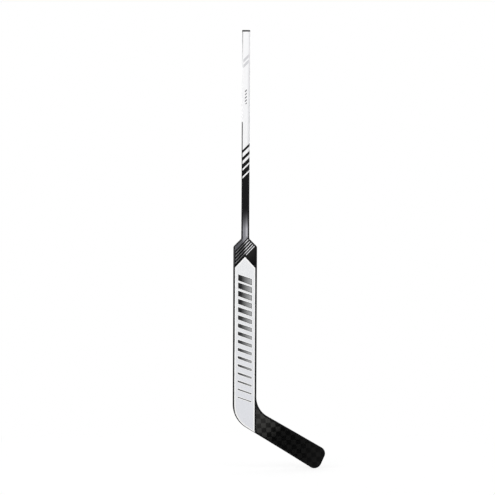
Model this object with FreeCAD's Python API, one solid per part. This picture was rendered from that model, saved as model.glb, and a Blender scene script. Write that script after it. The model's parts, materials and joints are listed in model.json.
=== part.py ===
import FreeCAD, Part
import math
import os

# Goalkeeper's ice-hockey stick, built as the real one is laid up: a hollow shaft tube whose stepped tenon
# is bonded into a paddle of foam, spars, edge rails and thin skins, and a curved blade bonded to the
# paddle's edge by a tongue. The origin is on the shaft's axis at the neck, where the blocker hand closes on
# the stick. +Z runs up the shaft, +X points to the blade's side, and -Y is the face that meets the puck.
# Lengths are in millimetres and angles in degrees.

Vector = FreeCAD.Vector

# Shaft
SHAFT_LENGTH = 766.0  # from the neck to the tube's open end
SHAFT_WIDTH = 30.0
SHAFT_DEPTH = 20.0
SHAFT_CORNER_RADIUS = 5.0
SHAFT_WALL = 2.4
TENON_LENGTH = 95.0  # how far the tube reaches into the paddle
STOPPER_LENGTH = 22.0  # foam stopper at the tube's lower end

# Butt plug
PLUG_HEAD_HEIGHT = 5.0
PLUG_HEAD_CHAMFER = 1.6
PLUG_SPIGOT_LENGTH = 46.0
PLUG_CLEARANCE = 0.3
PLUG_LEAD_IN = 1.6
PLUG_WALL = 2.6
PLUG_FLOOR = 5.0  # solid stretch of the spigot under the head
PLUG_BARB_COUNT = 2
PLUG_BARB_PITCH = 9.0
PLUG_BARB_HEIGHT = 0.22
PLUG_BARB_LENGTH = 3.0

# Paddle
PADDLE_LENGTH = 669.0  # from the neck to the heel's virtual corner
PADDLE_WIDTH = 88.0
SHOULDER_ANGLE = 45.0  # slope of the shoulders, from the shaft's axis
NECK_RADIUS = 10.0
NECK_COLLAR = 3.0  # straight stretch above the neck's curve, up to the shaft's step
SHOULDER_RADIUS = 12.0
HEEL_RADIUS = 101.0

# Blade
SOLE_ANGLE = 31.1  # fall of the sole, from the horizontal when the shaft stands upright
BLADE_LENGTH = 367.5  # along the sole, from the heel's virtual corner to the toe
BLADE_HEEL_HEIGHT = 74.2
BLADE_TOE_HEIGHT = 84.7
THROAT_RADIUS = 80.0
TOE_RAKE = 6.8  # lean of the toe's end, in degrees
TOE_SOLE_RADIUS = 27.0
TOE_TOP_RADIUS = 25.5
BLADE_DEPTH = 13.0  # the paddle thins to it at the heel, from the shaft's own depth at the neck
BLADE_BOW = 6.5  # how far the blade turns towards the puck, in degrees
BEND_MARGIN = 4.0  # flat stretch between the throat and the bow
TOE_LENGTH = 46.0  # straight end of the blade, past the bow

# Laminate and inner pieces
SKIN = 1.0
RAIL_WIDTH = 6.0
EDGE_RADIUS = 4.5
SPAR_WIDTH = 2.0
SHOULDER_BLOCK_LENGTH = 112.0
HEEL_MARGIN = 10.0  # paddle left straight between its heel block and the throat's curve
STRINGER_WIDTH = 4.0
STRINGER_HEIGHT = 34.0  # from the sole to the stringer's middle
TONGUE_LENGTH = 32.0  # how far the stringer reaches past the heel spar into the heel block
SEAT_LEDGE = 2.0  # how far the heel spar's ledge, which the blade's top edge starts from, stands out
SEAT_INSET = 1.0  # how far the blade's joint with the heel spar lies inside the paddle's edge

# Places worked out from the sizes
half_shaft = SHAFT_WIDTH / 2
half_paddle = PADDLE_WIDTH / 2
rail_inside = half_paddle - RAIL_WIDTH
blade_inside = half_paddle - SEAT_INSET
tenon_half_width = half_shaft - SKIN
spar_outside = tenon_half_width + SPAR_WIDTH
neck_top = NECK_COLLAR + NECK_RADIUS * math.tan(math.radians(SHOULDER_ANGLE / 2))
shoulder_level = -(half_paddle - half_shaft) / math.tan(math.radians(SHOULDER_ANGLE))
edge_radius = min(EDGE_RADIUS, 0.45 * BLADE_DEPTH, 0.9 * RAIL_WIDTH)
along_sole = (math.cos(math.radians(SOLE_ANGLE)), -math.sin(math.radians(SOLE_ANGLE)))
up_blade = (-along_sole[1], along_sole[0])
reach = SHAFT_LENGTH + PADDLE_LENGTH + BLADE_LENGTH
thick_reach = SHAFT_DEPTH + PADDLE_WIDTH


def blade_point(u, v):
    """A point of the front view, u along the sole from the heel's virtual corner and v square to it."""
    x = -half_paddle + u * along_sole[0] + v * up_blade[0]
    z = -PADDLE_LENGTH + u * along_sole[1] + v * up_blade[1]
    return (x, z)


def blade_u(x, v):
    """Distance along the sole of the point at height v over it that stands at x."""
    return (x + half_paddle - v * up_blade[0]) / along_sole[0]


def along_blade(x, z):
    """Distance along the sole of a point of the front view."""
    return (x + half_paddle) * along_sole[0] + (z + PADDLE_LENGTH) * along_sole[1]


# Throat: where the blade's top edge meets the paddle's blade-side edge
toe_setback = BLADE_TOE_HEIGHT * math.tan(math.radians(TOE_RAKE))
toe_sole = blade_point(BLADE_LENGTH, 0)
toe_top = blade_point(BLADE_LENGTH - toe_setback, BLADE_TOE_HEIGHT)
top_rise = (BLADE_TOE_HEIGHT - BLADE_HEEL_HEIGHT) / (BLADE_LENGTH - toe_setback)
top_lean = math.atan(top_rise)
top_fall = math.radians(SOLE_ANGLE) - top_lean
along_top = (math.cos(top_fall), -math.sin(top_fall))
top_start = blade_point(0, BLADE_HEEL_HEIGHT)
throat_corner = (half_paddle, top_start[1] - math.tan(top_fall) * (half_paddle - top_start[0]))
throat_tangent = THROAT_RADIUS * math.tan((math.radians(90) - top_fall) / 2)
throat_top = throat_corner[1] + throat_tangent
heel_level = throat_top + HEEL_MARGIN
seat_level = throat_top - math.sqrt(THROAT_RADIUS**2 - (THROAT_RADIUS - SEAT_LEDGE) ** 2)

# Bow: past the throat the blade turns towards the puck along an arc, then goes on straight to the toe's end
throat_end = along_blade(*throat_corner) + throat_tangent * math.cos(top_lean)
bend_start = max(throat_end, blade_u(half_paddle, 0)) + BEND_MARGIN
toe_start = BLADE_LENGTH - TOE_LENGTH
bow_turn = math.radians(BLADE_BOW)
bow_radius = (toe_start - bend_start) / math.sin(bow_turn)

# The arc runs square to the sole, and again square to the top edge so that its binding has an even round.
# Each is where it starts, its way in the front view, how much its radius grows to match at the skins, and
# how far it turns: the one along the top goes on past the start of the toe, where it is cut off.
sole_bow = (blade_point(bend_start, 0), along_sole, 1.0, bow_turn)
top_inside = BLADE_HEEL_HEIGHT + top_rise * bend_start - RAIL_WIDTH / math.cos(top_lean)
top_bow = (blade_point(bend_start, top_inside), along_top, 1 / math.cos(top_lean) ** 2, 1.2 * bow_turn)

# Toe: its own frame starts where the bow ends, with x along the toe, y to the back and z up the blade
toe_x, toe_z = blade_point(toe_start, 0)
toe_y = -bow_radius * (1 - math.cos(bow_turn))
fall = FreeCAD.Rotation(Vector(0, 1, 0), SOLE_ANGLE)
toe_frame = FreeCAD.Placement(
    Vector(toe_x, toe_y, toe_z), fall.multiply(FreeCAD.Rotation(Vector(0, 0, 1), -BLADE_BOW))
)

# Layers: a side, -1 for the face and 1 for the back, and a depth under that side's surface
FACE = (-1, 0.0)
UNDER_FACE = (-1, SKIN)
UNDER_BACK = (1, SKIN)
BACK = (1, 0.0)


def front_view(x, z):
    return Vector(x, 0, z)


def rounded_outline(corners, inset):
    """Closed wire in the front view, from corners (x, z, radius, whether the edge after it moves in)."""
    count = len(corners)
    places = [front_view(c[0], c[1]) for c in corners]
    ways = [(places[(i + 1) % count] - places[i]).normalize() for i in range(count)]
    inward = [Vector(-way.z, 0, way.x) for way in ways]
    starts = [places[i] + inward[i] * (inset if corners[i][3] else 0.0) for i in range(count)]
    edges = []
    stretch_ends = []
    for i in range(count):
        before = i - 1
        turn = math.atan2(inward[before].dot(ways[i]), ways[before].dot(ways[i]))
        gap = starts[i] - starts[before]
        corner = starts[before] + ways[before] * (gap.dot(inward[i]) / ways[before].dot(inward[i]))
        bulge = math.copysign(1, turn)
        radius = corners[i][2] - bulge * inset if corners[i][2] else 0.0
        tangent = max(radius, 0.0) * math.tan(abs(turn) / 2)
        arc_start = corner - ways[before] * tangent
        arc_end = corner + ways[i] * tangent
        stretch_ends.append((arc_start, arc_end))
        if tangent:
            centre = arc_start + inward[before] * (bulge * radius)
            middle = centre + (corner - centre).normalize() * radius
            edges.append(Part.Arc(arc_start, middle, arc_end).toShape())
    for i in range(count):
        edges.append(Part.LineSegment(stretch_ends[i - 1][1], stretch_ends[i][0]).toShape())
    return Part.Wire(Part.__sortEdges__(edges))


def stick_outline(inset=0.0):
    """The stick in the front view, from the shaft round by the heel, the toe and the throat."""
    return rounded_outline(
        [
            (-half_shaft, SHAFT_LENGTH, 0.0, True),
            (-half_shaft, 0.0, NECK_RADIUS, True),
            (-half_paddle, shoulder_level, SHOULDER_RADIUS, True),
            (-half_paddle, -PADDLE_LENGTH, HEEL_RADIUS, True),
            (*toe_sole, TOE_SOLE_RADIUS, True),
            (*toe_top, TOE_TOP_RADIUS, True),
            (*throat_corner, THROAT_RADIUS, True),
            (half_paddle, shoulder_level, SHOULDER_RADIUS, True),
            (half_shaft, 0.0, NECK_RADIUS, True),
            (half_shaft, SHAFT_LENGTH, 0.0, False),
        ],
        inset,
    )


def through_thickness(wire):
    """Prism of a front-view wire, from well in front of the stick to well behind it."""
    face = Part.Face(wire)
    face.translate(Vector(0, -thick_reach, 0))
    return face.extrude(Vector(0, 2 * thick_reach, 0))


def block(x0, x1, z0, z1):
    """Box through the thickness, square to the shaft."""
    return Part.makeBox(x1 - x0, 2 * thick_reach, z1 - z0, Vector(x0, -thick_reach, z0))


def front_polygon(corners):
    """Closed straight-sided wire in the front view."""
    places = [front_view(x, z) for x, z in corners]
    return Part.makePolygon(places + places[:1])


def blade_block(u0, u1, v0, v1):
    """Box through the thickness, square to the sole."""
    corners = ((u0, v0), (u1, v0), (u1, v1), (u0, v1))
    return through_thickness(front_polygon([blade_point(u, v) for u, v in corners]))


def paddle_layer(near, far):
    """Part of the paddle above the heel between two layers. It thins evenly from the neck to the heel."""
    def place(layer, depth, z):
        side, under = layer
        return Vector(-reach, side * (depth / 2 - under), z)

    corners = [
        place(near, SHAFT_DEPTH, neck_top),
        place(near, BLADE_DEPTH, heel_level),
        place(far, BLADE_DEPTH, heel_level),
        place(far, SHAFT_DEPTH, neck_top),
    ]
    return Part.Face(Part.makePolygon(corners + corners[:1])).extrude(Vector(2 * reach, 0, 0))


def blade_layer(near, far, bow=sole_bow):
    """Part of the heel and blade between two layers: flat, then an arc, then straight to the toe's end."""
    start, along, stretch, full_turn = bow
    up = (-along[1], along[0])
    toe_way = Vector(along[0] * math.cos(full_turn), -math.sin(full_turn), along[1] * math.cos(full_turn))

    def place(distance, y):
        x = start[0] + distance * along[0] - PADDLE_LENGTH * up[0]
        z = start[1] + distance * along[1] - PADDLE_LENGTH * up[1]
        return Vector(x, y, z)

    def curve(layer):
        side, under = layer
        root = side * (BLADE_DEPTH / 2 - under)
        radius = stretch * (bow_radius + root)

        def on_arc(turn):
            return place(radius * math.sin(turn), root - radius * (1 - math.cos(turn)))

        heel, bend, bow_end = place(-PADDLE_LENGTH, root), on_arc(0), on_arc(full_turn)
        tip = bow_end + toe_way * (2 * TOE_LENGTH)
        arc = Part.Arc(bend, on_arc(full_turn / 2), bow_end)
        run = [Part.LineSegment(heel, bend), arc, Part.LineSegment(bow_end, tip)]
        return [part.toShape() for part in run], heel, tip

    near_run, near_heel, near_tip = curve(near)
    far_run, far_heel, far_tip = curve(far)
    ends = [Part.LineSegment(near_tip, far_tip).toShape(), Part.LineSegment(far_heel, near_heel).toShape()]
    section = Part.Wire(Part.__sortEdges__(near_run + far_run + ends))
    layer = Part.Face(section).extrude(Vector(up[0], 0, up[1]) * (2 * PADDLE_LENGTH))
    return layer.common(block(-reach, reach, -reach, heel_level))


def faces_across(shape, edge):
    """How many of the two faces at an edge look forward or back."""
    count = 0
    for face in shape.ancestorsOfType(edge, Part.Face):
        u0, u1, v0, v1 = face.ParameterRange
        if abs(face.normalAt((u0 + u1) / 2, (v0 + v1) / 2).y) > 0.9:
            count += 1
    return count


def round_rim(blank, outline):
    """Rounds the front and back edges that a blank has along a front-view outline."""
    rim = []
    for edge in blank.Edges:
        middle = edge.valueAt((edge.FirstParameter + edge.LastParameter) / 2)
        off_outline = outline.distToShape(Part.Vertex(middle.x, 0, middle.z))[0]
        if off_outline < 1e-4 and faces_across(blank, edge) == 1:
            rim.append(edge)
    return blank.makeFillet(edge_radius, rim)


def rounded_bar(width, depth, radius, z0, z1):
    """Upright bar with a rounded rectangular section, centred on the shaft's axis."""
    bar = Part.makeBox(width, depth, z1 - z0, Vector(-width / 2, -depth / 2, z0))
    uprights = [edge for edge in bar.Edges if abs(edge.tangentAt(edge.FirstParameter).z) > 0.9]
    return bar.makeFillet(min(radius, 0.45 * depth), uprights)


def one_solid(shape):
    """The single solid that a piece has to be, with its split faces merged."""
    clean = shape.removeSplitter()
    if len(clean.Solids) != 1 or not clean.isValid():
        raise ValueError(f"expected one valid solid and found {len(clean.Solids)}")
    return clean.Solids[0]


def make_shaft():
    """Tube with a stepped tenon, so that the paddle's skins and rails lie flush with it at the neck."""
    bore_width = SHAFT_WIDTH - 2 * SHAFT_WALL
    bore_depth = SHAFT_DEPTH - 2 * SHAFT_WALL
    bore_radius = max(SHAFT_CORNER_RADIUS - SHAFT_WALL, 1.0)
    tube = rounded_bar(SHAFT_WIDTH, SHAFT_DEPTH, SHAFT_CORNER_RADIUS, neck_top, SHAFT_LENGTH)
    tenon = rounded_bar(
        2 * tenon_half_width, SHAFT_DEPTH - 2 * SKIN, SHAFT_CORNER_RADIUS - SKIN, -TENON_LENGTH, neck_top
    ).common(paddle_layer(UNDER_FACE, UNDER_BACK))
    bore = rounded_bar(bore_width, bore_depth, bore_radius, -TENON_LENGTH, SHAFT_LENGTH)
    stopper = rounded_bar(bore_width, bore_depth, bore_radius, -TENON_LENGTH, STOPPER_LENGTH - TENON_LENGTH)
    return tube.fuse(tenon).cut(bore), tenon, stopper


def make_butt_plug():
    """Moulded end plug: a chamfered head over a hollow, barbed spigot that pushes into the tube."""
    spigot_width = SHAFT_WIDTH - 2 * (SHAFT_WALL + PLUG_CLEARANCE)
    spigot_depth = SHAFT_DEPTH - 2 * (SHAFT_WALL + PLUG_CLEARANCE)
    spigot_radius = max(SHAFT_CORNER_RADIUS - SHAFT_WALL - PLUG_CLEARANCE, 0.7)
    spigot_end = SHAFT_LENGTH - PLUG_SPIGOT_LENGTH
    head_top = SHAFT_LENGTH + PLUG_HEAD_HEIGHT

    head = rounded_bar(SHAFT_WIDTH, SHAFT_DEPTH, SHAFT_CORNER_RADIUS, SHAFT_LENGTH, head_top)
    top_face = max(head.Faces, key=lambda face: face.CenterOfMass.z)
    head = head.makeChamfer(PLUG_HEAD_CHAMFER, top_face.Edges)

    spigot = rounded_bar(spigot_width, spigot_depth, spigot_radius, spigot_end, SHAFT_LENGTH)
    end_face = min(spigot.Faces, key=lambda face: face.CenterOfMass.z)
    spigot = spigot.makeChamfer(PLUG_LEAD_IN, end_face.Edges)
    for i in range(PLUG_BARB_COUNT):
        barb_top = SHAFT_LENGTH - PLUG_FLOOR - i * PLUG_BARB_PITCH
        barb = rounded_bar(
            spigot_width + 2 * PLUG_BARB_HEIGHT,
            spigot_depth + 2 * PLUG_BARB_HEIGHT,
            spigot_radius + PLUG_BARB_HEIGHT,
            barb_top - PLUG_BARB_LENGTH,
            barb_top,
        )
        spigot = spigot.fuse(barb)
    pocket_width = (spigot_width - 3 * PLUG_WALL) / 2
    pocket_depth = spigot_depth - 2 * PLUG_WALL
    for side in (-1, 1):
        pocket = rounded_bar(
            pocket_width, pocket_depth, spigot_radius, spigot_end, SHAFT_LENGTH - PLUG_FLOOR
        )
        pocket.translate(Vector(side * (pocket_width + PLUG_WALL) / 2, 0, 0))
        spigot = spigot.cut(pocket)
    return head.fuse(spigot)


def make_toe_blank():
    """Flat toe end of the blade, drawn in the toe's own frame, with its rim rounded."""
    lengthen = 1 / math.cos(bow_turn)
    outline_start = toe_start - TOE_LENGTH
    outline = rounded_outline(
        [
            (-TOE_LENGTH * lengthen, 0.0, 0.0, False),
            (TOE_LENGTH * lengthen, 0.0, TOE_SOLE_RADIUS, False),
            ((TOE_LENGTH - toe_setback) * lengthen, BLADE_TOE_HEIGHT, TOE_TOP_RADIUS, False),
            (-TOE_LENGTH * lengthen, BLADE_HEEL_HEIGHT + top_rise * outline_start, 0.0, False),
        ],
        0.0,
    )
    face = Part.Face(outline)
    face.translate(Vector(0, -BLADE_DEPTH / 2, 0))
    flat = face.extrude(Vector(0, BLADE_DEPTH, 0)).common(block(0, reach, -reach, reach))
    blank = round_rim(flat, outline)
    blank.Placement = toe_frame
    return blank


def make_stick():
    """All pieces by node name, divided from one moulded form by the surfaces where they are bonded."""
    rim = stick_outline()
    outline = through_thickness(rim)
    field = through_thickness(stick_outline(RAIL_WIDTH))
    toe_zone = block(0, reach, -reach, reach)
    toe_zone.Placement = toe_frame.multiply(toe_zone.Placement)
    top_zone = blade_block(-reach, reach, STRINGER_HEIGHT, reach)
    left_of_rail = block(-reach, rail_inside, -reach, heel_level)
    blade_side = block(blade_inside, reach, -reach, seat_level)

    flat_zone = blade_block(-reach, bend_start - BEND_MARGIN / 2, -reach, reach)
    blade_form = outline.common(blade_layer(FACE, BACK))
    sole_form = blade_form.common(blade_side).cut(toe_zone).cut(top_zone)
    top_form = outline.common(blade_layer(FACE, BACK, top_bow)).common(top_zone).cut(toe_zone)
    paddle_rim = round_rim(outline.common(paddle_layer(FACE, BACK)), rim).cut(field)
    heel_blank = round_rim(blade_form.common(flat_zone), rim)
    shaft, tenon, stopper = make_shaft()

    stringer_zone = blade_block(
        blade_u(rail_inside, STRINGER_HEIGHT) - TONGUE_LENGTH,
        BLADE_LENGTH,
        STRINGER_HEIGHT - STRINGER_WIDTH / 2,
        STRINGER_HEIGHT + STRINGER_WIDTH / 2,
    )
    paddle_core = field.common(paddle_layer(UNDER_FACE, UNDER_BACK)).cut(tenon)
    heel_core = field.common(blade_layer(UNDER_FACE, UNDER_BACK))
    stringer = heel_core.common(stringer_zone)

    spar_corners = [
        (rail_inside, -reach),
        (blade_inside, -reach),
        (blade_inside, seat_level),
        (reach, seat_level),
        (reach, heel_level),
        (rail_inside, heel_level),
    ]
    spar_zone = through_thickness(front_polygon(spar_corners))

    pieces = {
        "butt_plug": make_butt_plug(),
        "shaft_tube": shaft,
        "shaft_stopper": stopper,
        "paddle_rail_heel_side": paddle_rim.common(block(-reach, 0, -reach, reach)).cut(tenon),
        "paddle_rail_blade_side": paddle_rim.common(block(0, reach, -reach, reach)).cut(tenon),
        "heel_binding": heel_blank.common(left_of_rail).cut(field),
        "heel_spar": heel_blank.common(spar_zone).cut(stringer),
        "heel_block": heel_core.common(left_of_rail).cut(stringer),
        "blade_stringer": stringer,
    }
    for name, near, far in (("front", FACE, UNDER_FACE), ("back", UNDER_BACK, BACK)):
        upper = field.common(paddle_layer(near, far))
        lower = field.common(blade_layer(near, far))
        pieces[f"paddle_{name}_skin"] = upper.fuse(lower.common(left_of_rail))
        pieces[f"blade_{name}_skin"] = lower.common(blade_side)

    core_bottom = heel_level
    block_bottom = -SHOULDER_BLOCK_LENGTH
    pieces["paddle_core_middle"] = paddle_core.common(
        block(-tenon_half_width, tenon_half_width, core_bottom, -TENON_LENGTH)
    )
    for name, side in (("heel_side", -1), ("blade_side", 1)):
        inner, outer, edge = (side * x for x in (tenon_half_width, spar_outside, rail_inside))
        spar_span = sorted((inner, outer))
        foam_span = sorted((outer, edge))
        pieces[f"paddle_spar_{name}"] = paddle_core.common(block(*spar_span, core_bottom, neck_top))
        pieces[f"shoulder_block_{name}"] = paddle_core.common(block(*foam_span, block_bottom, neck_top))
        pieces[f"paddle_core_{name}"] = paddle_core.common(block(*foam_span, core_bottom, block_bottom))

    pieces["blade_top_binding"] = round_rim(top_form, rim).cut(field).common(blade_side)
    sole_and_toe = round_rim(sole_form, rim).fuse(make_toe_blank())
    pieces["blade_sole_binding"] = sole_and_toe.cut(field)
    blade_foam = heel_core.common(blade_side).cut(stringer)
    pieces["blade_core_upper"] = blade_foam.common(top_zone)
    pieces["blade_core_lower"] = blade_foam.cut(top_zone)
    return {name: one_solid(shape) for name, shape in pieces.items()}


os.makedirs("parts", exist_ok=True)
for node, solid in make_stick().items():
    solid.exportStep(os.path.join("parts", f"{node}.step"))
    box = solid.BoundBox
    print(f"{node}: {solid.Volume / 1000:.1f} cm3, z {box.ZMin:.1f} to {box.ZMax:.1f}")
print(f"neck top {neck_top:.3f}, heel level {heel_level:.3f}, seat level {seat_level:.3f}")
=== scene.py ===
# %% [markdown]
# # A goalkeeper's hockey stick
# The stick is a hollow shaft, a wide flat paddle and a bowed blade. Its solids come from the packed CAD model,
# which is loaded first and never moved or reshaped, so every number below is in metres in the model's own
# frame: z runs up the shaft, x points to the blade's side, and the face that meets the puck looks along minus
# y.

# %% Load the solids
import json
import math

import bpy
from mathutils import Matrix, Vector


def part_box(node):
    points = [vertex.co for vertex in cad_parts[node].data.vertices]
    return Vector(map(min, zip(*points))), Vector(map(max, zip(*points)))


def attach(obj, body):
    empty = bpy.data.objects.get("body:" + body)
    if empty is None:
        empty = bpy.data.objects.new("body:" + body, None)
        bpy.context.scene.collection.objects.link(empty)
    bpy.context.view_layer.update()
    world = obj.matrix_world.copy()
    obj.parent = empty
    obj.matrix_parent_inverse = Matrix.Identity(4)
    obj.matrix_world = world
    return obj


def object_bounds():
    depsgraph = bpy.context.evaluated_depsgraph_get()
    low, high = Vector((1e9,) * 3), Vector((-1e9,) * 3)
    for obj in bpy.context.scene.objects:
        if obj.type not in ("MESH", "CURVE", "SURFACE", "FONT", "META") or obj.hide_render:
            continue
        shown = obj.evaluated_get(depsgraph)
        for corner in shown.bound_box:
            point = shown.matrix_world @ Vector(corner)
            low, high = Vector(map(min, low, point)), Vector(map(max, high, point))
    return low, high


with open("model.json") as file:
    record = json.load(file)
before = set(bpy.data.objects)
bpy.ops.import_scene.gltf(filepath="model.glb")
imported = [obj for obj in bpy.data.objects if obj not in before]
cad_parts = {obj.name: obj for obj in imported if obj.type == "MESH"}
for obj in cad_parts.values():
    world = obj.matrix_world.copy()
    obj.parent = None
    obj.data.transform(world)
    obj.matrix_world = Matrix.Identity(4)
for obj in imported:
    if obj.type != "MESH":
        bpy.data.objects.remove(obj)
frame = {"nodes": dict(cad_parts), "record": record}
cad_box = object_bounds()
print("nodes", len(frame["nodes"]), "box", [[round(c, 3) for c in corner] for corner in cad_box])

# %% [markdown]
# ## The camera
# A catalogue picture of something so long and thin is taken from far away with a long lens, so that the two
# ends aren't seen from different sides. A short lens close by would make the toe loom. The stick leans a
# quarter of a degree in the picture. The stick has to stay where the solids are, so the camera is rolled by
# that much instead.

# %% Camera square to the face
PICTURE_WIDTH = 1.8315
PICTURE_CENTRE = (0.0085, -0.033)
CAMERA_DISTANCE = 9.0
STICK_LEAN = math.radians(0.26)

scene = bpy.context.scene
camera = bpy.data.objects.new("camera", bpy.data.cameras.new("camera"))
camera.data.lens = camera.data.sensor_width * CAMERA_DISTANCE / PICTURE_WIDTH
camera.data.clip_end = 100
camera.location = (PICTURE_CENTRE[0], -CAMERA_DISTANCE, PICTURE_CENTRE[1])
camera.rotation_euler = (math.radians(90), -STICK_LEAN, 0)
scene.collection.objects.link(camera)
scene.camera = camera
print("lens", round(camera.data.lens, 1), "mm")

# %% [markdown]
# ## Short calls for nodes
# The sky, the materials and the printed bars are all trees of nodes. Made by hand, each node takes several
# lines that hide what the tree works out, so three helpers make a node and wire it in one call. An input may be
# a plain number or another node's output.

# %% Node helpers


def link_new(tree, kind, **inputs):
    """A new node whose named inputs are set to a value, or linked where the value is another node's socket."""
    node = tree.nodes.new(kind)
    for name, value in inputs.items():
        if isinstance(value, bpy.types.NodeSocket):
            tree.links.new(value, node.inputs[name])
        else:
            node.inputs[name].default_value = value
    return node


def calculate(tree, operation, first, second):
    """The output of a Math node for two numbers or sockets."""
    node = tree.nodes.new("ShaderNodeMath")
    node.operation = operation
    for socket, value in zip(node.inputs, (first, second)):
        if isinstance(value, bpy.types.NodeSocket):
            tree.links.new(value, socket)
        else:
            socket.default_value = value
    return node.outputs[0]


def blend(tree, value, at_low, at_high, low=0.0, high=1.0):
    """The output of a Map Range node: at_low where the value is low, at_high where it is high."""
    ends = {"From Min": low, "From Max": high, "To Min": at_low, "To Max": at_high}
    return link_new(tree, "ShaderNodeMapRange", Value=value, **ends).outputs["Result"]


print("helpers", link_new.__name__, calculate.__name__, blend.__name__)

# %% [markdown]
# ## White surroundings
# The background is plain white. More light would bleach the white paint along with it. Instead the sky answers
# a ray from the camera with its own white, and the rays that light the stick with the light of a big diffuser
# on the camera's side, which leaves the sides of the shaft a little darker than its face. A ray that a gloss
# surface sends back to the backdrop finds its white as well, and one to the camera's side finds a dark studio,
# so black lacquer stays black.

# %% Sky
LIGHT_IN_FRONT = 1.2
LIGHT_AT_SIDES = 0.45
LIGHT_BEHIND = 0.7
STUDIO_DARK = 0.012
BACKDROP_LOOK = (0.7, 0.95)


def seen(tree):
    """1 for a ray from the camera, straight or through something clear, and 0 for any other."""
    path = link_new(tree, "ShaderNodeLightPath").outputs
    return calculate(tree, "MAXIMUM", path["Is Camera Ray"], path["Is Transmission Ray"])


def brightness(tree, to_camera, mirrored, lighting):
    """One strength for the camera's rays, one for mirrored rays and one for those that light the stick."""
    is_mirrored = link_new(tree, "ShaderNodeLightPath").outputs["Is Glossy Ray"]
    return blend(tree, seen(tree), blend(tree, is_mirrored, lighting, mirrored), to_camera)


scene.view_settings.view_transform = "Standard"
scene.world = bpy.data.worlds.new("studio")
scene.world.use_nodes = True
sky = scene.world.node_tree
look = link_new(sky, "ShaderNodeTexCoord").outputs["Generated"]
look_y = link_new(sky, "ShaderNodeSeparateXYZ", Vector=look).outputs["Y"]
in_front = blend(sky, look_y, LIGHT_IN_FRONT, LIGHT_AT_SIDES, -1.0, 0.0)
behind = blend(sky, look_y, 0.0, LIGHT_BEHIND - LIGHT_AT_SIDES)
diffuser = calculate(sky, "ADD", in_front, behind)
backdrop = blend(sky, look_y, STUDIO_DARK, 1.0, *BACKDROP_LOOK)
background = sky.nodes["Background"]
background.inputs["Color"].default_value = (1, 1, 1, 1)
sky.links.new(brightness(sky, 1.0, backdrop, diffuser), background.inputs["Strength"])
print("sky,", len(sky.nodes), "nodes")

# %% [markdown]
# ## Floor
# The toe touches a sheet of white paper that reaches far past the picture, and the paper answers rays as the
# sky does. A sheet that only shone would have no shadow. So near the stick it gives up a part of its own white
# for its lit colour, and a soft shadow stays there.

# %% Floor paper
FLOOR_BOUNCE = 0.55
FLOOR_SIZE = 60.0
BACKDROP_START = (0.1, 0.8)
SHADOW_REACH = (0.5, 1.6)
SHADOW_SHARE = 0.28

floor_paper = bpy.data.materials.new("floor_paper")
floor_paper.use_nodes = True
paper = floor_paper.node_tree
floor_spot = link_new(paper, "ShaderNodeTexCoord").outputs["Object"]
floor_y = link_new(paper, "ShaderNodeSeparateXYZ", Vector=floor_spot).outputs["Y"]
distance = link_new(paper, "ShaderNodeVectorMath", Vector=floor_spot)
distance.operation = "LENGTH"
share = blend(paper, distance.outputs["Value"], SHADOW_SHARE, 0.0, *SHADOW_REACH)
backdrop = blend(paper, floor_y, STUDIO_DARK, 1.0, *BACKDROP_START)
strength = brightness(paper, calculate(paper, "SUBTRACT", 1.0, share), backdrop, FLOOR_BOUNCE)
own_white = link_new(paper, "ShaderNodeEmission", Strength=strength)
lit_white = link_new(paper, "ShaderNodeBsdfDiffuse", Color=calculate(paper, "MULTIPLY", share, seen(paper)))
both_whites = paper.nodes.new("ShaderNodeAddShader")
paper.links.new(own_white.outputs[0], both_whites.inputs[0])
paper.links.new(lit_white.outputs[0], both_whites.inputs[1])
paper.links.new(both_whites.outputs[0], paper.nodes["Material Output"].inputs["Surface"])

floor_z = cad_box[0][2]
half = FLOOR_SIZE / 2
corners = [(-half, -half, 0), (half, -half, 0), (half, half, 0), (-half, half, 0)]
floor_mesh = bpy.data.meshes.new("floor")
floor_mesh.from_pydata(corners, [], [(0, 1, 2, 3)])
floor_mesh.materials.append(floor_paper)
floor = bpy.data.objects.new("floor", floor_mesh)
floor.location.z = floor_z
scene.collection.objects.link(floor)
print("floor at", round(floor_z, 4))

# %% [markdown]
# ## Soft boxes
# Gloss black shows its shape only by what it mirrors. Tall soft boxes stand to the sides, where the rounded
# edges find them and the flat faces, which look straight back at the camera, don't. The left one is the
# stronger. Two more stand behind, so that the back is lit as well.

# %% Lights


def soft_box(name, azimuth, height, power, distance=2.6, width=1.1, tall=2.2):
    """An area lamp that faces the stick's middle. Azimuth 0 is the camera's side, 90 is the blade's side."""
    lamp = bpy.data.lights.new(name, "AREA")
    lamp.shape = "RECTANGLE"
    lamp.size = width
    lamp.size_y = tall
    lamp.energy = power
    turn = math.radians(azimuth)
    box = bpy.data.objects.new(name, lamp)
    box.location = (distance * math.sin(turn), -distance * math.cos(turn), height)
    box.rotation_euler = (math.radians(90) - math.atan2(height, distance), 0, turn)
    box.visible_camera = False
    scene.collection.objects.link(box)


soft_box("key_left", -40, height=1.3, power=26, width=1.5, tall=1.6)
soft_box("fill_right", 62, height=1.1, power=12, width=1.8, tall=1.8)
soft_box("back_left", -160, height=0.9, power=14, width=1.4, tall=1.8)
soft_box("back_right", 160, height=0.9, power=14, width=1.4, tall=1.8)
soft_box("top", 0, height=2.6, power=6, distance=0.6, tall=1.1)

# %% [markdown]
# ## Painting with numbers
# Every finish here is painted by rule: black above this line, silver between those two, all in the stick's own
# coordinates. An image could hold the same paint, but it would blur close up. Long chains of Math nodes are
# hard to read, so `Reading` lets them be written as plain sums.

# %% Sums
SHARP_EDGE = 0.0003


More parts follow.
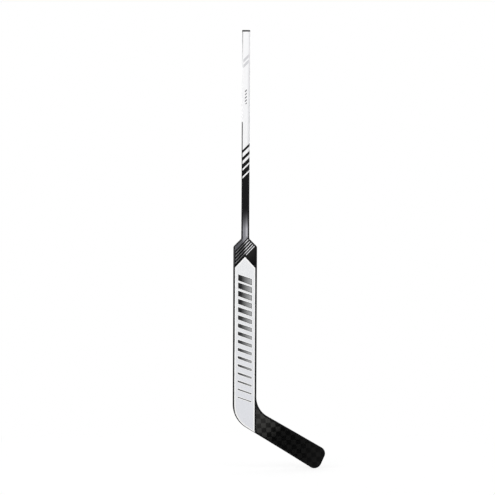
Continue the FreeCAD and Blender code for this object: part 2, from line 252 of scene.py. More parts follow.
class Reading:
    """A number that a tree works out at each point of a surface: a socket, with arithmetic on it."""

    def __init__(self, tree, socket):
        self.tree = tree
        self.socket = socket

    def calc(self, operation, other=0.0):
        """The result of a Math node on this reading and another one, or a number."""
        value = other.socket if isinstance(other, Reading) else other
        return Reading(self.tree, calculate(self.tree, operation, self.socket, value))

    def __add__(self, other):
        return self.calc("ADD", other)

    def __sub__(self, other):
        return self.calc("SUBTRACT", other)

    def __mul__(self, other):
        return self.calc("MULTIPLY", other)

    def __truediv__(self, other):
        return self.calc("DIVIDE", other)

    def __neg__(self):
        return self.calc("MULTIPLY", -1.0)

    def least(self, other):
        return self.calc("MINIMUM", other)

    def most(self, other):
        return self.calc("MAXIMUM", other)

    def size(self):
        return self.calc("ABSOLUTE")

    def ramp(self, low, high, to_low=0.0, to_high=1.0):
        """Runs evenly from to_low to to_high between two values, and stays level outside them."""
        return Reading(self.tree, blend(self.tree, self.socket, to_low, to_high, low, high))

    def past(self, edge, blur=SHARP_EDGE):
        """0 before an edge and 1 past it."""
        return self.ramp(edge - blur / 2, edge + blur / 2)

    def between(self, low, high, blur=SHARP_EDGE):
        """1 between two edges and 0 outside them."""
        return self.past(low, blur) - self.past(high, blur)


print("a reading has", ", ".join(name for name in vars(Reading) if not name.startswith("_")))

# %% [markdown]
# ## Coats
# Paint goes on in coats, and a later one covers an earlier one where its mask is 1. `Finish` does that with Mix
# nodes, for the colour and for the roughness. A lacquer that was sprayed also has a faint ripple, like the skin
# of an orange, which is a bump of about a hundredth of a millimetre. Most of a noise lies between 0.3 and 0.7,
# so a ramp over it starts and ends there.

# %% Finishes
RIPPLE_SCALE = 700
RIPPLE_DEPTH = 0.000012
NOISE_SPREAD = (0.3, 0.7)
COLOUR_PLACES = (6, 7, 2)
NUMBER_PLACES = (2, 3, 0)


class Finish:
    """A gloss or satin material whose colours are laid one over another, each where its mask is 1."""

    def __init__(self, name, colour, roughness, **sockets):
        self.material = bpy.data.materials.new(name)
        self.material.use_nodes = True
        self.tree = self.material.node_tree
        self.shader = self.tree.nodes["Principled BSDF"]
        self.shader.inputs["Base Color"].default_value = (*colour, 1)
        self.shader.inputs["Roughness"].default_value = roughness
        for socket, value in sockets.items():
            self.shader.inputs[socket.replace("_", " ")].default_value = value
        self.place = link_new(self.tree, "ShaderNodeTexCoord").outputs["Object"]
        split = link_new(self.tree, "ShaderNodeSeparateXYZ", Vector=self.place)
        self.x, self.y, self.z = (Reading(self.tree, socket) for socket in split.outputs)

    def noise(self, scale, stretch=(1, 1, 1), detail=2.0):
        """Cloudy noise from 0 to 1. A stretch under 1 draws it out along that axis."""
        moved = link_new(self.tree, "ShaderNodeMapping", Vector=self.place, Scale=stretch).outputs["Vector"]
        cloud = link_new(self.tree, "ShaderNodeTexNoise", Vector=moved, Scale=scale, Detail=detail)
        return Reading(self.tree, cloud.outputs["Fac"])

    def coat(self, mask, colour):
        """Lays a colour over what is there where the mask is 1."""
        self.mix("Base Color", "RGBA", COLOUR_PLACES, mask, (*colour, 1))

    def roughen(self, mask, roughness):
        """Brings the roughness to a new value where the mask is 1."""
        self.mix("Roughness", "FLOAT", NUMBER_PLACES, mask, roughness)

    def mix(self, socket, kind, places, mask, value):
        """Blends a value into a socket. The places are a Mix node's two inputs and its output for that kind."""
        under, over, result = places
        target = self.shader.inputs[socket]
        node = self.tree.nodes.new("ShaderNodeMix")
        node.data_type = kind
        self.tree.links.new(mask.socket, node.inputs[0])
        if target.links:
            self.tree.links.new(target.links[0].from_socket, node.inputs[under])
        else:
            node.inputs[under].default_value = target.default_value
        node.inputs[over].default_value = value
        self.tree.links.new(node.outputs[result], target)

    def bump(self, height, depth):
        """Raises the surface by up to depth where height is 1, on top of any bump before it."""
        target = self.shader.inputs["Normal"]
        node = link_new(self.tree, "ShaderNodeBump", Height=height.socket, Distance=depth)
        if target.links:
            self.tree.links.new(target.links[0].from_socket, node.inputs["Normal"])
        self.tree.links.new(node.outputs["Normal"], target)

    def ripple(self):
        """Adds the faint ripple that sprayed lacquer has."""
        self.bump(self.noise(RIPPLE_SCALE, detail=1.0), RIPPLE_DEPTH)


def dress(finish, *nodes):
    """Gives CAD nodes a finish. Their meshes stay as they are: only the material slot changes."""
    for node in nodes:
        frame["nodes"][node].data.materials.clear()
        frame["nodes"][node].data.materials.append(finish.material)
    print(finish.material.name, "on", ", ".join(nodes))


print("a finish has", ", ".join(name for name in vars(Finish) if not name.startswith("_")))

# %% [markdown]
# ## Shaft paint
# The shaft is sprayed white at the top, with painted shade in soft grey along the right corner, a grey line
# along the left corner that darkens towards the top, and a line of bare carbon where the tube was cut. Slanted
# bands carry it over to black. One diagonal coordinate, z minus x, draws all of them, and they wrap round the
# sides by themselves. The left corner and side turn black a little higher up. Masks keep the grey to the
# corners, off the flat sides.

# %% Shaft corners and bands
PAINT_WHITE = (0.89, 0.89, 0.90)
PAINT_BLACK = (0.010, 0.010, 0.011)
MARK_AND_SHADE_GREY = (0.62, 0.62, 0.64)
LINE_GREY = (0.12, 0.12, 0.13)
LACQUER = {"Specular_IOR_Level": 0.15, "Coat_Weight": 1.0, "Coat_Roughness": 0.06}
PAINT_ROUGHNESS = 0.35
SPRAY_EDGE = 0.0012
SOFT_EDGE = 0.004
LEFT_CORNER = 0.0112
RIGHT_SHADE_SPAN = (0.005, 0.0125)
SIDES = (0.0137, 0.0149)
RIGHT_SHADE_SHARE = 0.7
RIGHT_SHADE_EASED = 0.6
LEFT_GREY_SHARE = 0.9
RIGHT_SHADE_EASES = (0.62, 0.66)
LEFT_GREY_GROWS = (0.625, 0.77)
BLACK_SIDE_TOP = 0.431
CUT_END = 0.7648
BANDS = ((0.327, 0.338), (0.298, 0.311), (0.269, 0.286), (0.240, 0.262), (-1.0, 0.233))

shaft = Finish("shaft_lacquer", PAINT_WHITE, PAINT_ROUGHNESS, **LACQUER)
slant = shaft.z - shaft.x
from_axis = shaft.x.size()
off_sides = from_axis.ramp(*SIDES, 1.0, 0.0)
# Painted shade: soft grey over the right corner, standing for the corner turned away from the light, fainter
# lower down.
right_corner_shade = shaft.x.ramp(*RIGHT_SHADE_SPAN, 0.0, RIGHT_SHADE_SHARE)
right_corner_shade = right_corner_shade * shaft.z.ramp(*RIGHT_SHADE_EASES, 1.0, RIGHT_SHADE_EASED)
left_corner = (-shaft.x).past(LEFT_CORNER, SPRAY_EDGE)
shaft.coat(right_corner_shade * off_sides, MARK_AND_SHADE_GREY)
left_grey = left_corner * shaft.z.ramp(*LEFT_GREY_GROWS, 0.0, LEFT_GREY_SHARE)
shaft.coat(left_grey * off_sides, LINE_GREY)
for low, high in BANDS:
    shaft.coat(slant.between(low, high), PAINT_BLACK)
shaft.coat(left_corner * (-shaft.z).past(-BLACK_SIDE_TOP, SOFT_EDGE), PAINT_BLACK)
shaft.coat(shaft.z.past(CUT_END), PAINT_BLACK)
print("bands", len(BANDS))

# %% [markdown]
# ## Marks and silver on the shaft
# Two slanted grey bars and a row of ticks stand on the white. Just above the paddle the black fades to a
# streaky silver on the flat of the face, with the corners left black, and a brighter silver strip just right of
# the middle is a painted highlight. A straight fade looks too even, so a power holds it back and lets it come
# up fast at its end.

# %% Shaft marks and fade
PAINT_SILVER = (0.32, 0.32, 0.35)
BRIGHT_SILVER = (0.76, 0.76, 0.78)
SILVER_ROUGHNESS = 0.22
MARKS = ((0.64, 0.652), (0.66, 0.672))
MARK_HALF_WIDTH = 0.0100
TICK_HALF_PITCH = 0.006
TICK_GAP = 0.0035
TICK_HALF_WIDTH = 0.0035
TICK_ROW = (0.497, 0.553)
FADE = (0.036, 0.121)
FADE_POWER = 2.6
FADE_SIDES = (-0.0092, 0.0098)
GLEAM_SIDES = (0.002, 0.0075)
GLEAM_SHARE = 0.4
STREAKS = {"scale": 240, "stretch": (1, 1, 0.05), "detail": 1.0}
STREAKS_DIM = 0.7

on_face = (-from_axis).past(-MARK_HALF_WIDTH, SPRAY_EDGE)
for low, high in MARKS:
    shaft.coat(slant.between(low, high) * on_face, MARK_AND_SHADE_GREY)
ticks = slant.calc("PINGPONG", TICK_HALF_PITCH).past(TICK_GAP) * shaft.z.between(*TICK_ROW)
shaft.coat(ticks * (-from_axis).past(-TICK_HALF_WIDTH), LINE_GREY)
streaks = shaft.noise(**STREAKS).ramp(*NOISE_SPREAD, STREAKS_DIM, 1.0)
fade = shaft.z.ramp(*FADE, 1.0, 0.0).calc("POWER", FADE_POWER) * shaft.x.between(*FADE_SIDES, SPRAY_EDGE)
shaft.coat(fade * streaks, PAINT_SILVER)
shaft.roughen(fade * streaks, SILVER_ROUGHNESS)
# Painted highlight: a brighter silver strip just right of the middle of the face.
shaft.coat(fade * streaks * shaft.x.between(*GLEAM_SIDES, SOFT_EDGE) * GLEAM_SHARE, BRIGHT_SILVER)
shaft.ripple()
dress(shaft, "shaft_tube")

# %% [markdown]
# ## How far from the edge
# The panel's border follows the stick's outline, so the paint has to know how far each point lies inside it.
# Along the straight runs that is a plain distance. At the heel the outline is an arc, and the distance is its
# radius less the way to its centre. The record's mounts tell where the sole lies and how it falls.

# %% Distance inside the heel
HEEL_RADIUS = 0.101
ARC_EDGE = 0.0001
RAIL_WIDTH = 0.006
RAIL_THINS = (-0.648, -0.625)
HEEL_LINE = 0.004
HEEL_LINE_THINS = (-0.742, -0.664)

mounts = {mount["name"]: mount for mount in frame["record"]["mounts"]}
sole_way = mounts["blade_sole"]["axis"]
sole_spot = mounts["blade_sole"]["pos_m"]
half_paddle = -cad_box[0][0]
sole_fall = math.atan2(-sole_way[0], -sole_way[2])
heel_corner_z = sole_spot[2] + (sole_spot[0] + half_paddle) * math.tan(sole_fall)


def inside_heel(finish):
    """How far a point of the front view lies inside the stick's edge, round the heel."""
    left = finish.x + half_paddle
    below = finish.z - heel_corner_z
    along = left * math.cos(sole_fall) - below * math.sin(sole_fall)
    sole = left * math.sin(sole_fall) + below * math.cos(sole_fall)
    tangent = HEEL_RADIUS * math.tan((math.radians(90) - sole_fall) / 2)
    centre_x = left - HEEL_RADIUS
    centre_z = below - tangent
    arc = -((centre_x * centre_x + centre_z * centre_z).calc("SQRT")) + HEEL_RADIUS
    in_arc = (-centre_z).past(0.0, ARC_EDGE) * (-along).past(-tangent, ARC_EDGE)
    straight = left.least(sole)
    return straight + (arc - straight) * in_arc


def dark_edge(finish):
    """Width of the dark edge outside the panel: the rail's own, then a finer line that thins under the heel."""
    line = finish.z.ramp(*HEEL_LINE_THINS, 0.0, HEEL_LINE)
    return line + finish.z.ramp(*RAIL_THINS, 0.0, RAIL_WIDTH - HEEL_LINE)


print("sole falls", round(math.degrees(sole_fall), 1), "degrees, heel corner at", round(heel_corner_z, 4))

# %% [markdown]
# ## Panel
# A light panel starts with a chevron and runs down to the heel, inside a brighter white line. The distance to
# the panel's nearest edge draws both: below zero it is black, then white, then the panel's own pale grey, which
# cools towards the heel and is a little mottled. The black of the rails laps a little over the panel.

# %% Panel paint
PANEL_TOP = (0.85, 0.86, 0.87)
PANEL_BOTTOM = (0.80, 0.81, 0.85)
RIM_WHITE = (0.96, 0.96, 0.96)
SHOULDER_BLACK = (0.004, 0.004, 0.0045)
CHEVRON_TOP = (-0.0005, -0.0679)
CHEVRON_FALL = 1.075
RIM_WIDTH = 0.0048
RIM_EDGE = 0.0008
RAIL_LAP = 0.0007
LAP_GROWS = (-0.46, -0.38)
PANEL_COOLS = (-0.6, -0.1)
MOTTLE = {"scale": 40, "detail": 3.0}
MOTTLE_SPREAD = (0.35, 0.7)
MOTTLE_SHARE = 0.3
MOTTLE_ROUGHNESS = 0.45

paddle = Finish("paddle_lacquer", PANEL_TOP, PAINT_ROUGHNESS, **LACQUER)
chevron = (paddle.x - CHEVRON_TOP[0]).size() * -CHEVRON_FALL - paddle.z + CHEVRON_TOP[1]
chevron = chevron / math.hypot(1, CHEVRON_FALL)
left_edge = inside_heel(paddle) - dark_edge(paddle) - paddle.z.ramp(*LAP_GROWS, 0.0, RAIL_LAP)
right_edge = -paddle.x + (half_paddle - RAIL_WIDTH - RAIL_LAP)
inside = chevron.least(left_edge).least(right_edge)
mottle = paddle.noise(**MOTTLE).ramp(*MOTTLE_SPREAD)
paddle.coat(paddle.z.ramp(*PANEL_COOLS, 1.0, 0.0), PANEL_BOTTOM)
paddle.coat(mottle * MOTTLE_SHARE, PANEL_BOTTOM)
paddle.roughen(mottle, MOTTLE_ROUGHNESS)
paddle.coat((-inside).past(-RIM_WIDTH, RIM_EDGE), RIM_WHITE)
paddle.coat((-inside).past(0.0), SHOULDER_BLACK)
print("chevron starts at", CHEVRON_TOP)

# %% [markdown]
# ## Shoulders
# The shoulders are black with silver pinstripes at about 45 degrees, bright on the blade's side and dim on the
# other. They are paint, so they are drawn by rule too, each as a band of one slanted coordinate. The shaft's
# silver runs out over the left shoulder, and the black on the right has a faint warm gleam, which is a painted
# highlight.

# %% Shoulder stripes
STRIPE_FALL = 1.06
STRIPE_HALF_WIDTH = 0.0019
STRIPE_MIDDLES = (-0.0150, -0.0279, -0.0407, -0.0533)
STRIPE_START_X = -0.0358
STRIPE_START_EDGE = 0.0006
STRIPES_BRIGHTEN = (-0.006, 0.004)
STRIPES_DIM_SHARE = 0.16
STRIPES_LEFT_END = (-0.036, -0.022)
STRIPES_LEFT_LIFT = 0.14
SHORT_STRIPE = (-0.0662, -0.0622)
SHORT_STRIPE_START_X = 0.0037
PATCH_LOW_EDGE = -0.0060
PATCH_BRIGHTENS = (-0.0125, -0.003)
PATCH_DIM_SHARE = 0.38
PATCH_STREAKS = {"scale": 320, "stretch": (1, 1, 0.3)}
PATCH_SPREAD = (0.25, 0.75)
SHOULDER_GLEAM = (0.024, 0.0235, 0.022)
GLEAM_RISES = (-0.092, -0.050)
GLEAM_DIMS = (0.018, 0.040)
GLEAM_DIM_SHARE = 0.3
FLAKES = {"scale": 600, "stretch": (1, 1, 0.5)}
FLAKES_DIM = 0.8
ABOVE_CHEVRON = 0.004

stripe_slant = paddle.z - paddle.x * STRIPE_FALL
shoulder = (-chevron).past(ABOVE_CHEVRON)
# Painted highlight: a faint warm gleam on the black of the right shoulder, broken up by flakes.
gleam = paddle.z.ramp(*GLEAM_RISES) * paddle.x.ramp(*GLEAM_DIMS, 1.0, GLEAM_DIM_SHARE)
gleam = gleam * paddle.x.past(0.0, SOFT_EDGE)
flakes = paddle.noise(**FLAKES).ramp(*NOISE_SPREAD, FLAKES_DIM, 1.0)
paddle.coat(gleam * shoulder * flakes, SHOULDER_GLEAM)
lit = paddle.x.ramp(*STRIPES_BRIGHTEN, STRIPES_DIM_SHARE, 1.0)
lit = lit + paddle.x.ramp(*STRIPES_LEFT_END, STRIPES_LEFT_LIFT, 0.0)
right_of_start = paddle.x.past(STRIPE_START_X, STRIPE_START_EDGE)
for middle in STRIPE_MIDDLES:
    stripe = stripe_slant.between(middle - STRIPE_HALF_WIDTH, middle + STRIPE_HALF_WIDTH)
    paddle.coat(stripe * right_of_start * lit, BRIGHT_SILVER)
short_stripe = paddle.x.past(SHORT_STRIPE_START_X) * stripe_slant.between(*SHORT_STRIPE)
paddle.coat(short_stripe * shoulder, BRIGHT_SILVER)
patch = stripe_slant.past(PATCH_LOW_EDGE) * paddle.x.ramp(*PATCH_BRIGHTENS, PATCH_DIM_SHARE, 1.0)
patch_streaks = paddle.noise(**PATCH_STREAKS).ramp(*PATCH_SPREAD, STREAKS_DIM, 1.0)
paddle.coat(patch * patch_streaks, PAINT_SILVER)
paddle.ripple()
dress(paddle, "paddle_front_skin", "paddle_back_skin")

# %% [markdown]
# ## Gloss black edges
# The rails and bindings are bare carbon under clear lacquer, near black. Round the heel the panel's white goes
# on over the binding, and a dark line is left that thins towards the sole, so that piece has a finish of its
# own. By the left shoulder a painted highlight makes the bare carbon a little greyer.

# %% Edge finishes
EDGE_BLACK = (0.006, 0.006, 0.0065)
FIBRE_GREY = (0.02, 0.02, 0.022)
FIBRES = {"scale": 900, "stretch": (1, 1, 0.12), "detail": 3.0}
FIBRES_SHOW = (0.55, 0.8, 0.0, 0.35)
FIBRES_ROUGHEN = (0.4, 0.8)
FIBRE_ROUGHNESS = 0.5
FIBRE_DEPTH = 0.00001
RAIL_HIGHLIGHT_GREY = (0.045, 0.045, 0.047)
RAIL_HIGHLIGHT_X = 0.0365
RAIL_HIGHLIGHT_EDGE = 0.001
RAIL_HIGHLIGHT_STRETCH = (-0.108, -0.040)
RAIL_HIGHLIGHT_FADES = 0.02


def edge_finish(name):
    """Near-black carbon with fine fibres, under lacquer."""
    finish = Finish(name, EDGE_BLACK, PAINT_ROUGHNESS, **LACQUER)
    fibres = finish.noise(**FIBRES)
    finish.coat(fibres.ramp(*FIBRES_SHOW), FIBRE_GREY)
    finish.roughen(fibres.ramp(*FIBRES_ROUGHEN), FIBRE_ROUGHNESS)
    finish.bump(fibres, FIBRE_DEPTH)
    return finish


edge = edge_finish("edge_carbon")
# Painted highlight: a greyer stretch of the left rail by the shoulder.
highlight_by_shoulder = edge.z.between(*RAIL_HIGHLIGHT_STRETCH, RAIL_HIGHLIGHT_FADES)
edge.coat((-edge.x).past(RAIL_HIGHLIGHT_X, RAIL_HIGHLIGHT_EDGE) * highlight_by_shoulder, RAIL_HIGHLIGHT_GREY)
heel_edge = edge_finish("heel_edge")
heel_edge.coat((inside_heel(heel_edge) - dark_edge(heel_edge)).past(0.0), RIM_WHITE)
dress(edge, "paddle_rail_heel_side", "paddle_rail_blade_side", "heel_spar")
dress(edge, "blade_top_binding", "blade_sole_binding")
dress(heel_edge, "heel_binding")

# %% [markdown]
# ## Spread-tow carbon
# The blade's faces are woven from flat ribbons of carbon about 18 mm wide, laid over and under each other, so
# they look like a draughtboard: each square shows fibres that run either up or across, and the two catch the
# light differently. A Checker node would give the squares but not their fibres, so the board is worked out from
# x and z: a square is upright where its column and row add up to an odd number. Each square then gets fine
# lines along its own fibres.

# %% Draughtboard of ribbons
TOW_WIDTH = 0.0175
TOW_TURN = math.radians(5.2)
TOW_START = (-0.0008, 0.0141)
TOW_DARK = (0.0005, 0.0005, 0.0006)
LINE_SCALE = 1500
LINE_STRETCH = 0.03

blade = Finish("blade_carbon", TOW_DARK, PAINT_ROUGHNESS, **LACQUER)
across = blade.x * math.cos(TOW_TURN) + blade.z * math.sin(TOW_TURN)
upward = blade.z * math.cos(TOW_TURN) - blade.x * math.sin(TOW_TURN)
column = (across - TOW_START[0]) / TOW_WIDTH
row = (upward - TOW_START[1]) / TOW_WIDTH
upright = ((column.calc("FLOOR") + row.calc("FLOOR")) / 2).calc("FRACT").past(0.25, 0.01)
across_lines = blade.noise(LINE_SCALE, (LINE_STRETCH, 1, 1))
upright_lines = blade.noise(LINE_SCALE, (1, 1, LINE_STRETCH))
lines = across_lines + (upright_lines - across_lines) * upright
print("ribbons", TOW_WIDTH * 1000, "mm wide")

# %% [markdown]
# ## Shine of the weave
# The whole board is paler by the heel and a little paler at the toe, a painted sheen. The upright squares are
# always the lighter ones: partly the weave's own pattern, partly painted sheen that is stronger by the heel.
# Each square is also a very slight pillow, lower along its edges where one ribbon dives under the next.

# %% Blade finish
TOW_LIGHT = (0.069, 0.068, 0.065)
TOW_ROUGHNESS = 0.25
HEEL_SHEEN_TURN = math.radians(47.8)
HEEL_SHEEN_START = 0.538
HEEL_SHEEN_REACH = (0.0, 0.065)
HEEL_SHEEN = 0.40
CONTRAST_FALLS = (0.052, 0.083)
HEEL_SHEEN_CONTRAST = 0.37
BLADE_CONTRAST = 0.08
TOE_SHEEN_RISES = (0.20, 0.27)
TOE_SHEEN = 0.06
LINES_DIM = 0.7
LINES_BRIGHT = 1.2
LINE_DEPTH = 0.000008
PILLOW_EDGE = 0.06
PILLOW_DEPTH = 0.00002

# Painted sheen: paler by the heel and a little by the toe, with a stronger lift of the upright squares by the
# heel.
from_heel_sheen = blade.x * math.cos(HEEL_SHEEN_TURN) - blade.z * math.sin(HEEL_SHEEN_TURN) - HEEL_SHEEN_START
painted_sheen = from_heel_sheen.ramp(*HEEL_SHEEN_REACH, HEEL_SHEEN, 0.0) + blade.x.ramp(*TOE_SHEEN_RISES, 0.0, TOE_SHEEN)
sheen_and_weave = painted_sheen + upright * from_heel_sheen.ramp(*CONTRAST_FALLS, HEEL_SHEEN_CONTRAST, BLADE_CONTRAST)
blade.coat(sheen_and_weave * lines.ramp(*NOISE_SPREAD, LINES_DIM, LINES_BRIGHT), TOW_LIGHT)
blade.roughen(upright * lines, TOW_ROUGHNESS)
from_column = column.calc("FRACT").calc("PINGPONG", 0.5)
from_row = row.calc("FRACT").calc("PINGPONG", 0.5)
blade.bump(lines, LINE_DEPTH)
blade.bump(from_column.least(from_row).ramp(0.0, PILLOW_EDGE), PILLOW_DEPTH)
dress(blade, "blade_front_skin", "blade_back_skin")

# %% [markdown]
# ## Plug, foam and inner webs
# The plug is satin rubber with a fine moulded grain. Inside, where only a cut-open stick would show them, are
# the foam's closed cells and the webs' bare matt carbon. All three are one base colour with a second colour, a
# second roughness and a bump that follow the same noise, so one helper makes them.

# %% Rubber, foam and inner carbon


def grained(name, colours, roughness, noise, shows, roughens, depth):
    """A finish of two colours and roughnesses. Shows and roughens are the ramps that pick the second ones."""
    finish = Finish(name, colours[0], roughness[0])
    grain = finish.noise(**noise)
    finish.coat(grain.ramp(*shows), colours[1])
    finish.roughen(grain.ramp(*roughens), roughness[1])
    finish.bump(grain, depth)
    return finish


rubber = grained(
    "plug_rubber", ((0.045, 0.045, 0.048), (0.08, 0.08, 0.083)), (0.55, 0.7),
    noise={"scale": 2600, "detail": 3.0}, shows=(0.4, 0.8, 0.0, 0.4), roughens=(0.3, 0.7), depth=0.00006,
)
foam = grained(
    "foam_core", ((0.74, 0.66, 0.48), (0.60, 0.51, 0.34)), (0.85, 0.95),
    noise={"scale": 1800, "detail": 4.0}, shows=(0.5, 0.8, 0.0, 0.5), roughens=(0.4, 0.7), depth=0.00025,
)
web = grained(
    "web_carbon", ((0.03, 0.03, 0.032), (0.07, 0.07, 0.075)), (0.5, 0.36),
    noise={"scale": 1100, "stretch": (1, 1, 0.08), "detail": 3.0},
    shows=(0.45, 0.75, 0.0, 0.6), roughens=(0.4, 0.7), depth=0.00005,
)
foam_nodes = [piece["node"] for piece in frame["record"]["subparts"] if piece["material_slot"] == "foam_core"]
dress(rubber, "butt_plug")
dress(foam, *foam_nodes)
dress(web, "paddle_spar_heel_side", "paddle_spar_blade_side", "blade_stringer")

# %% [markdown]
# ## Printed bars on the panel
# A flight of slanted bars is printed on the panel, bold at the top and thinning to fine lines near the heel.
# They are a film that stands a fifth of a millimetre proud. They could be painted by rule like the stripes, but
# a film has an edge that catches the light. Geometry Nodes repeat one slab of film, from these named sizes.

# %% Sizes of the flight
BAR_BORDER = 0.0025
flight_sizes = {
    "Bars": 16,
    "Pitch": 0.0295,
    "First Bar": -0.1525,
    "Length": 0.051,
    "Tallest": 0.0225,
    "Thinnest": 0.0030,
    "Fall": math.tan(math.radians(19)),
    "Film": 0.0003,
    "Proud": 0.0002,
}

flight = bpy.data.node_groups.new("bar_flight", "GeometryNodeTree")
for name, value in flight_sizes.items():
    kind = "NodeSocketInt" if isinstance(value, int) else "NodeSocketFloat"
    flight.interface.new_socket(name, in_out="INPUT", socket_type=kind)
flight.interface.new_socket("Material", in_out="INPUT", socket_type="NodeSocketMaterial")
flight.interface.new_socket("Geometry", in_out="OUTPUT", socket_type="NodeSocketGeometry")
given = flight.nodes.new("NodeGroupInput").outputs
sizes = {name: Reading(flight, given[name]) for name in flight_sizes}


def vector(x=0.0, y=0.0, z=0.0):
    """A vector of three readings or numbers, in the flight's tree."""
    parts = {}
    for axis, value in zip("XYZ", (x, y, z)):
        parts[axis] = value.socket if isinstance(value, Reading) else value
    return link_new(flight, "ShaderNodeCombineXYZ", **parts).outputs[0]


def kept(geometry, name, kind, value):
    """The geometry with a value stored on its points under a name."""
    node = link_new(flight, "GeometryNodeStoreNamedAttribute", Geometry=geometry, Name=name)
    node.data_type = kind
    flight.links.new(value, node.inputs["Value"])
    return node.outputs[0]


print("sizes of the flight", list(flight_sizes))

# %% [markdown]
# ## Slabs down the panel
# A Mesh Line has one point for each step down the panel, and a slab stands on each of them, less tall from step
# to step. A slab that is scaled would stretch its border too. So each slab keeps its own coordinates and its
# height in two attributes, from which the finish later draws a border of even width.

# %% One slab at each step
place = flight.nodes.new("GeometryNodeInputPosition").outputs[0]
slab_size = vector(sizes["Length"] + 2 * BAR_BORDER, sizes["Film"], 1.0)
slab = link_new(flight, "GeometryNodeMeshCube", Size=slab_size).outputs["Mesh"]
slab = kept(slab, "bar_spot", "FLOAT_VECTOR", place)
start = {"Start Location": vector(z=sizes["First Bar"])}
step = vector(z=-sizes["Pitch"])
steps = link_new(flight, "GeometryNodeMeshLine", Count=given["Bars"], Offset=step, **start).outputs[0]
number = Reading(flight, flight.nodes.new("GeometryNodeInputIndex").outputs[0])
thinned = (sizes["Tallest"] - sizes["Thinnest"]) / (sizes["Bars"] - 1.0)
tall = sizes["Tallest"] - number * thinned + 2 * BAR_BORDER
steps = kept(steps, "bar_tall", "FLOAT", tall.socket)
scale = vector(1.0, 1.0, tall)
slabs = link_new(flight, "GeometryNodeInstanceOnPoints", Points=steps, Instance=slab, Scale=scale).outputs[0]
loose = link_new(flight, "GeometryNodeRealizeInstances", Geometry=slabs).outputs[0]
print("slabs,", len(flight.nodes), "nodes so far")

# %% [markdown]
# ## Laid on both faces
# The bars lean, and the face they lie on comes forward towards the neck, because the paddle thins towards the
# heel. Both are a matter of moving points: down by the fall across the bar, and out to the face, whose slope
# comes from its mount in the record. Half a turn about the shaft's axis puts a second flight on the back.

# %% Bars on the faces
face_way = mounts["paddle_face"]["axis"]
face_spot = mounts["paddle_face"]["pos_m"]
face_slope = face_way[2] / face_way[1]
half_depth_at_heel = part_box("heel_binding")[1][1]

split = link_new(flight, "ShaderNodeSeparateXYZ", Vector=place)
slab_x, slab_y, slab_z = (Reading(flight, socket) for socket in split.outputs)
fallen = slab_z - slab_x * sizes["Fall"]
face = ((fallen - face_spot[2]) * face_slope - face_spot[1]).most(half_depth_at_heel)
laid = vector(slab_x, slab_y - face - sizes["Proud"] + sizes["Film"] / 2, fallen)
front_bars = link_new(flight, "GeometryNodeSetPosition", Geometry=loose, Position=laid).outputs[0]
half_turn = (0, 0, math.pi)
back_bars = link_new(flight, "GeometryNodeTransform", Geometry=front_bars, Rotation=half_turn).outputs[0]
both_faces = flight.nodes.new("GeometryNodeJoinGeometry")
flight.links.new(front_bars, both_faces.inputs[0])
flight.links.new(back_bars, both_faces.inputs[0])
inked = link_new(flight, "GeometryNodeSetMaterial", Geometry=both_faces.outputs[0], Material=given["Material"])
flight.links.new(inked.outputs[0], flight.nodes.new("NodeGroupOutput").inputs[0])
print("flight of bars,", len(flight.nodes), "nodes")

# %% [markdown]
# ## Film colours
# Every bar has a white border, then a dark outline. Inside it the ink is black at one end and grey at the
# other. The bars thin down the panel and their outlines pale from black to grey, so the flight seems to fade
# away.

# %% Film finish
BAR_OUTLINE = 0.0016
FILM_BLACK = (0.008, 0.008, 0.009)
FILM_GREY = (0.05, 0.05, 0.053)
INK_ROUGHNESS = 0.27
OUTLINE_PALES = (-0.45, -0.2)
INK_EASES = (-0.014, 0.002)
INK_EASED = 0.80
INK_THINS = (0.002, 0.024)
INK_THINNED = 0.65
INK_STREAKS = {"scale": 260, "stretch": (0.08, 1, 1)}
INK_STREAKS_DIM = 0.97

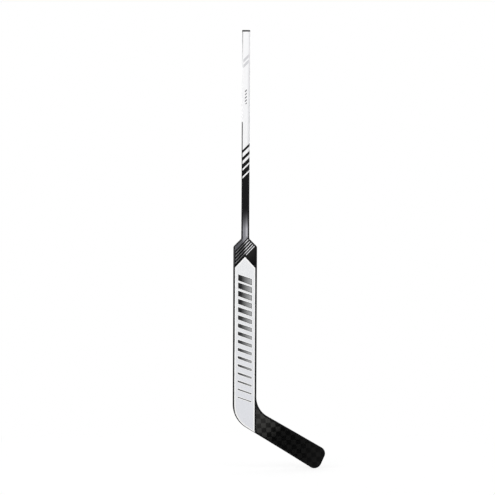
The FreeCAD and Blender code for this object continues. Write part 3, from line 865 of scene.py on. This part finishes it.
film = Finish("bar_film", RIM_WHITE, PAINT_ROUGHNESS, **LACQUER)
spot = film.tree.nodes.new("ShaderNodeAttribute")
spot.attribute_name = "bar_spot"
height = film.tree.nodes.new("ShaderNodeAttribute")
height.attribute_name = "bar_tall"
split = link_new(film.tree, "ShaderNodeSeparateXYZ", Vector=spot.outputs["Vector"])
along_bar = Reading(film.tree, split.outputs["X"])
up_bar = Reading(film.tree, split.outputs["Z"])
from_edge = (-up_bar.size() + 0.5) * Reading(film.tree, height.outputs["Fac"])
from_end = -along_bar.size() + (flight_sizes["Length"] / 2 + BAR_BORDER)
margin = from_edge.least(from_end) - BAR_BORDER
film.coat(margin.past(0.0), FILM_GREY)
film.coat(margin.past(0.0) * film.z.ramp(*OUTLINE_PALES), FILM_BLACK)
ink = film.x.ramp(*INK_EASES, 1.0, INK_EASED) * film.x.ramp(*INK_THINS, 1.0, INK_THINNED)
ink = ink * film.noise(**INK_STREAKS).ramp(*NOISE_SPREAD, INK_STREAKS_DIM, 1.0)
film.coat(margin.past(BAR_OUTLINE) * (-ink + 1.0), PANEL_TOP)
film.roughen(margin.past(0.0) * ink, INK_ROUGHNESS)
film.ripple()
print("film finish,", len(film.tree.nodes), "nodes")

# %% [markdown]
# ## From tree to mesh
# The export wants plain meshes. An empty object carries the tree as a modifier, its inputs are set by their
# identifiers, and the evaluated result becomes the mesh of the real piece, which rides on the stick.

# %% Made bars
maker = bpy.data.objects.new("bar_maker", bpy.data.meshes.new("bar_maker"))
scene.collection.objects.link(maker)
grow = maker.modifiers.new("bar_flight", "NODES")
grow.node_group = flight
for item in flight.interface.items_tree:
    if item.in_out == "INPUT":
        grow[item.identifier] = film.material if item.name == "Material" else flight_sizes[item.name]
depsgraph = bpy.context.evaluated_depsgraph_get()
bars_mesh = bpy.data.meshes.new_from_object(maker.evaluated_get(depsgraph), depsgraph=depsgraph)
bpy.data.objects.remove(maker)
bars_mesh.materials.clear()
bars_mesh.materials.append(film.material)
bars_mesh.polygons.foreach_set("material_index", [0] * len(bars_mesh.polygons))
bars = bpy.data.objects.new("panel_bars", bars_mesh)
scene.collection.objects.link(bars)
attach(bars, "stick")
print("bars", len(bars_mesh.polygons) // 6)

# %% [markdown]
# ## Check the size and finish
# The dressed stick has to keep the solids' own size.
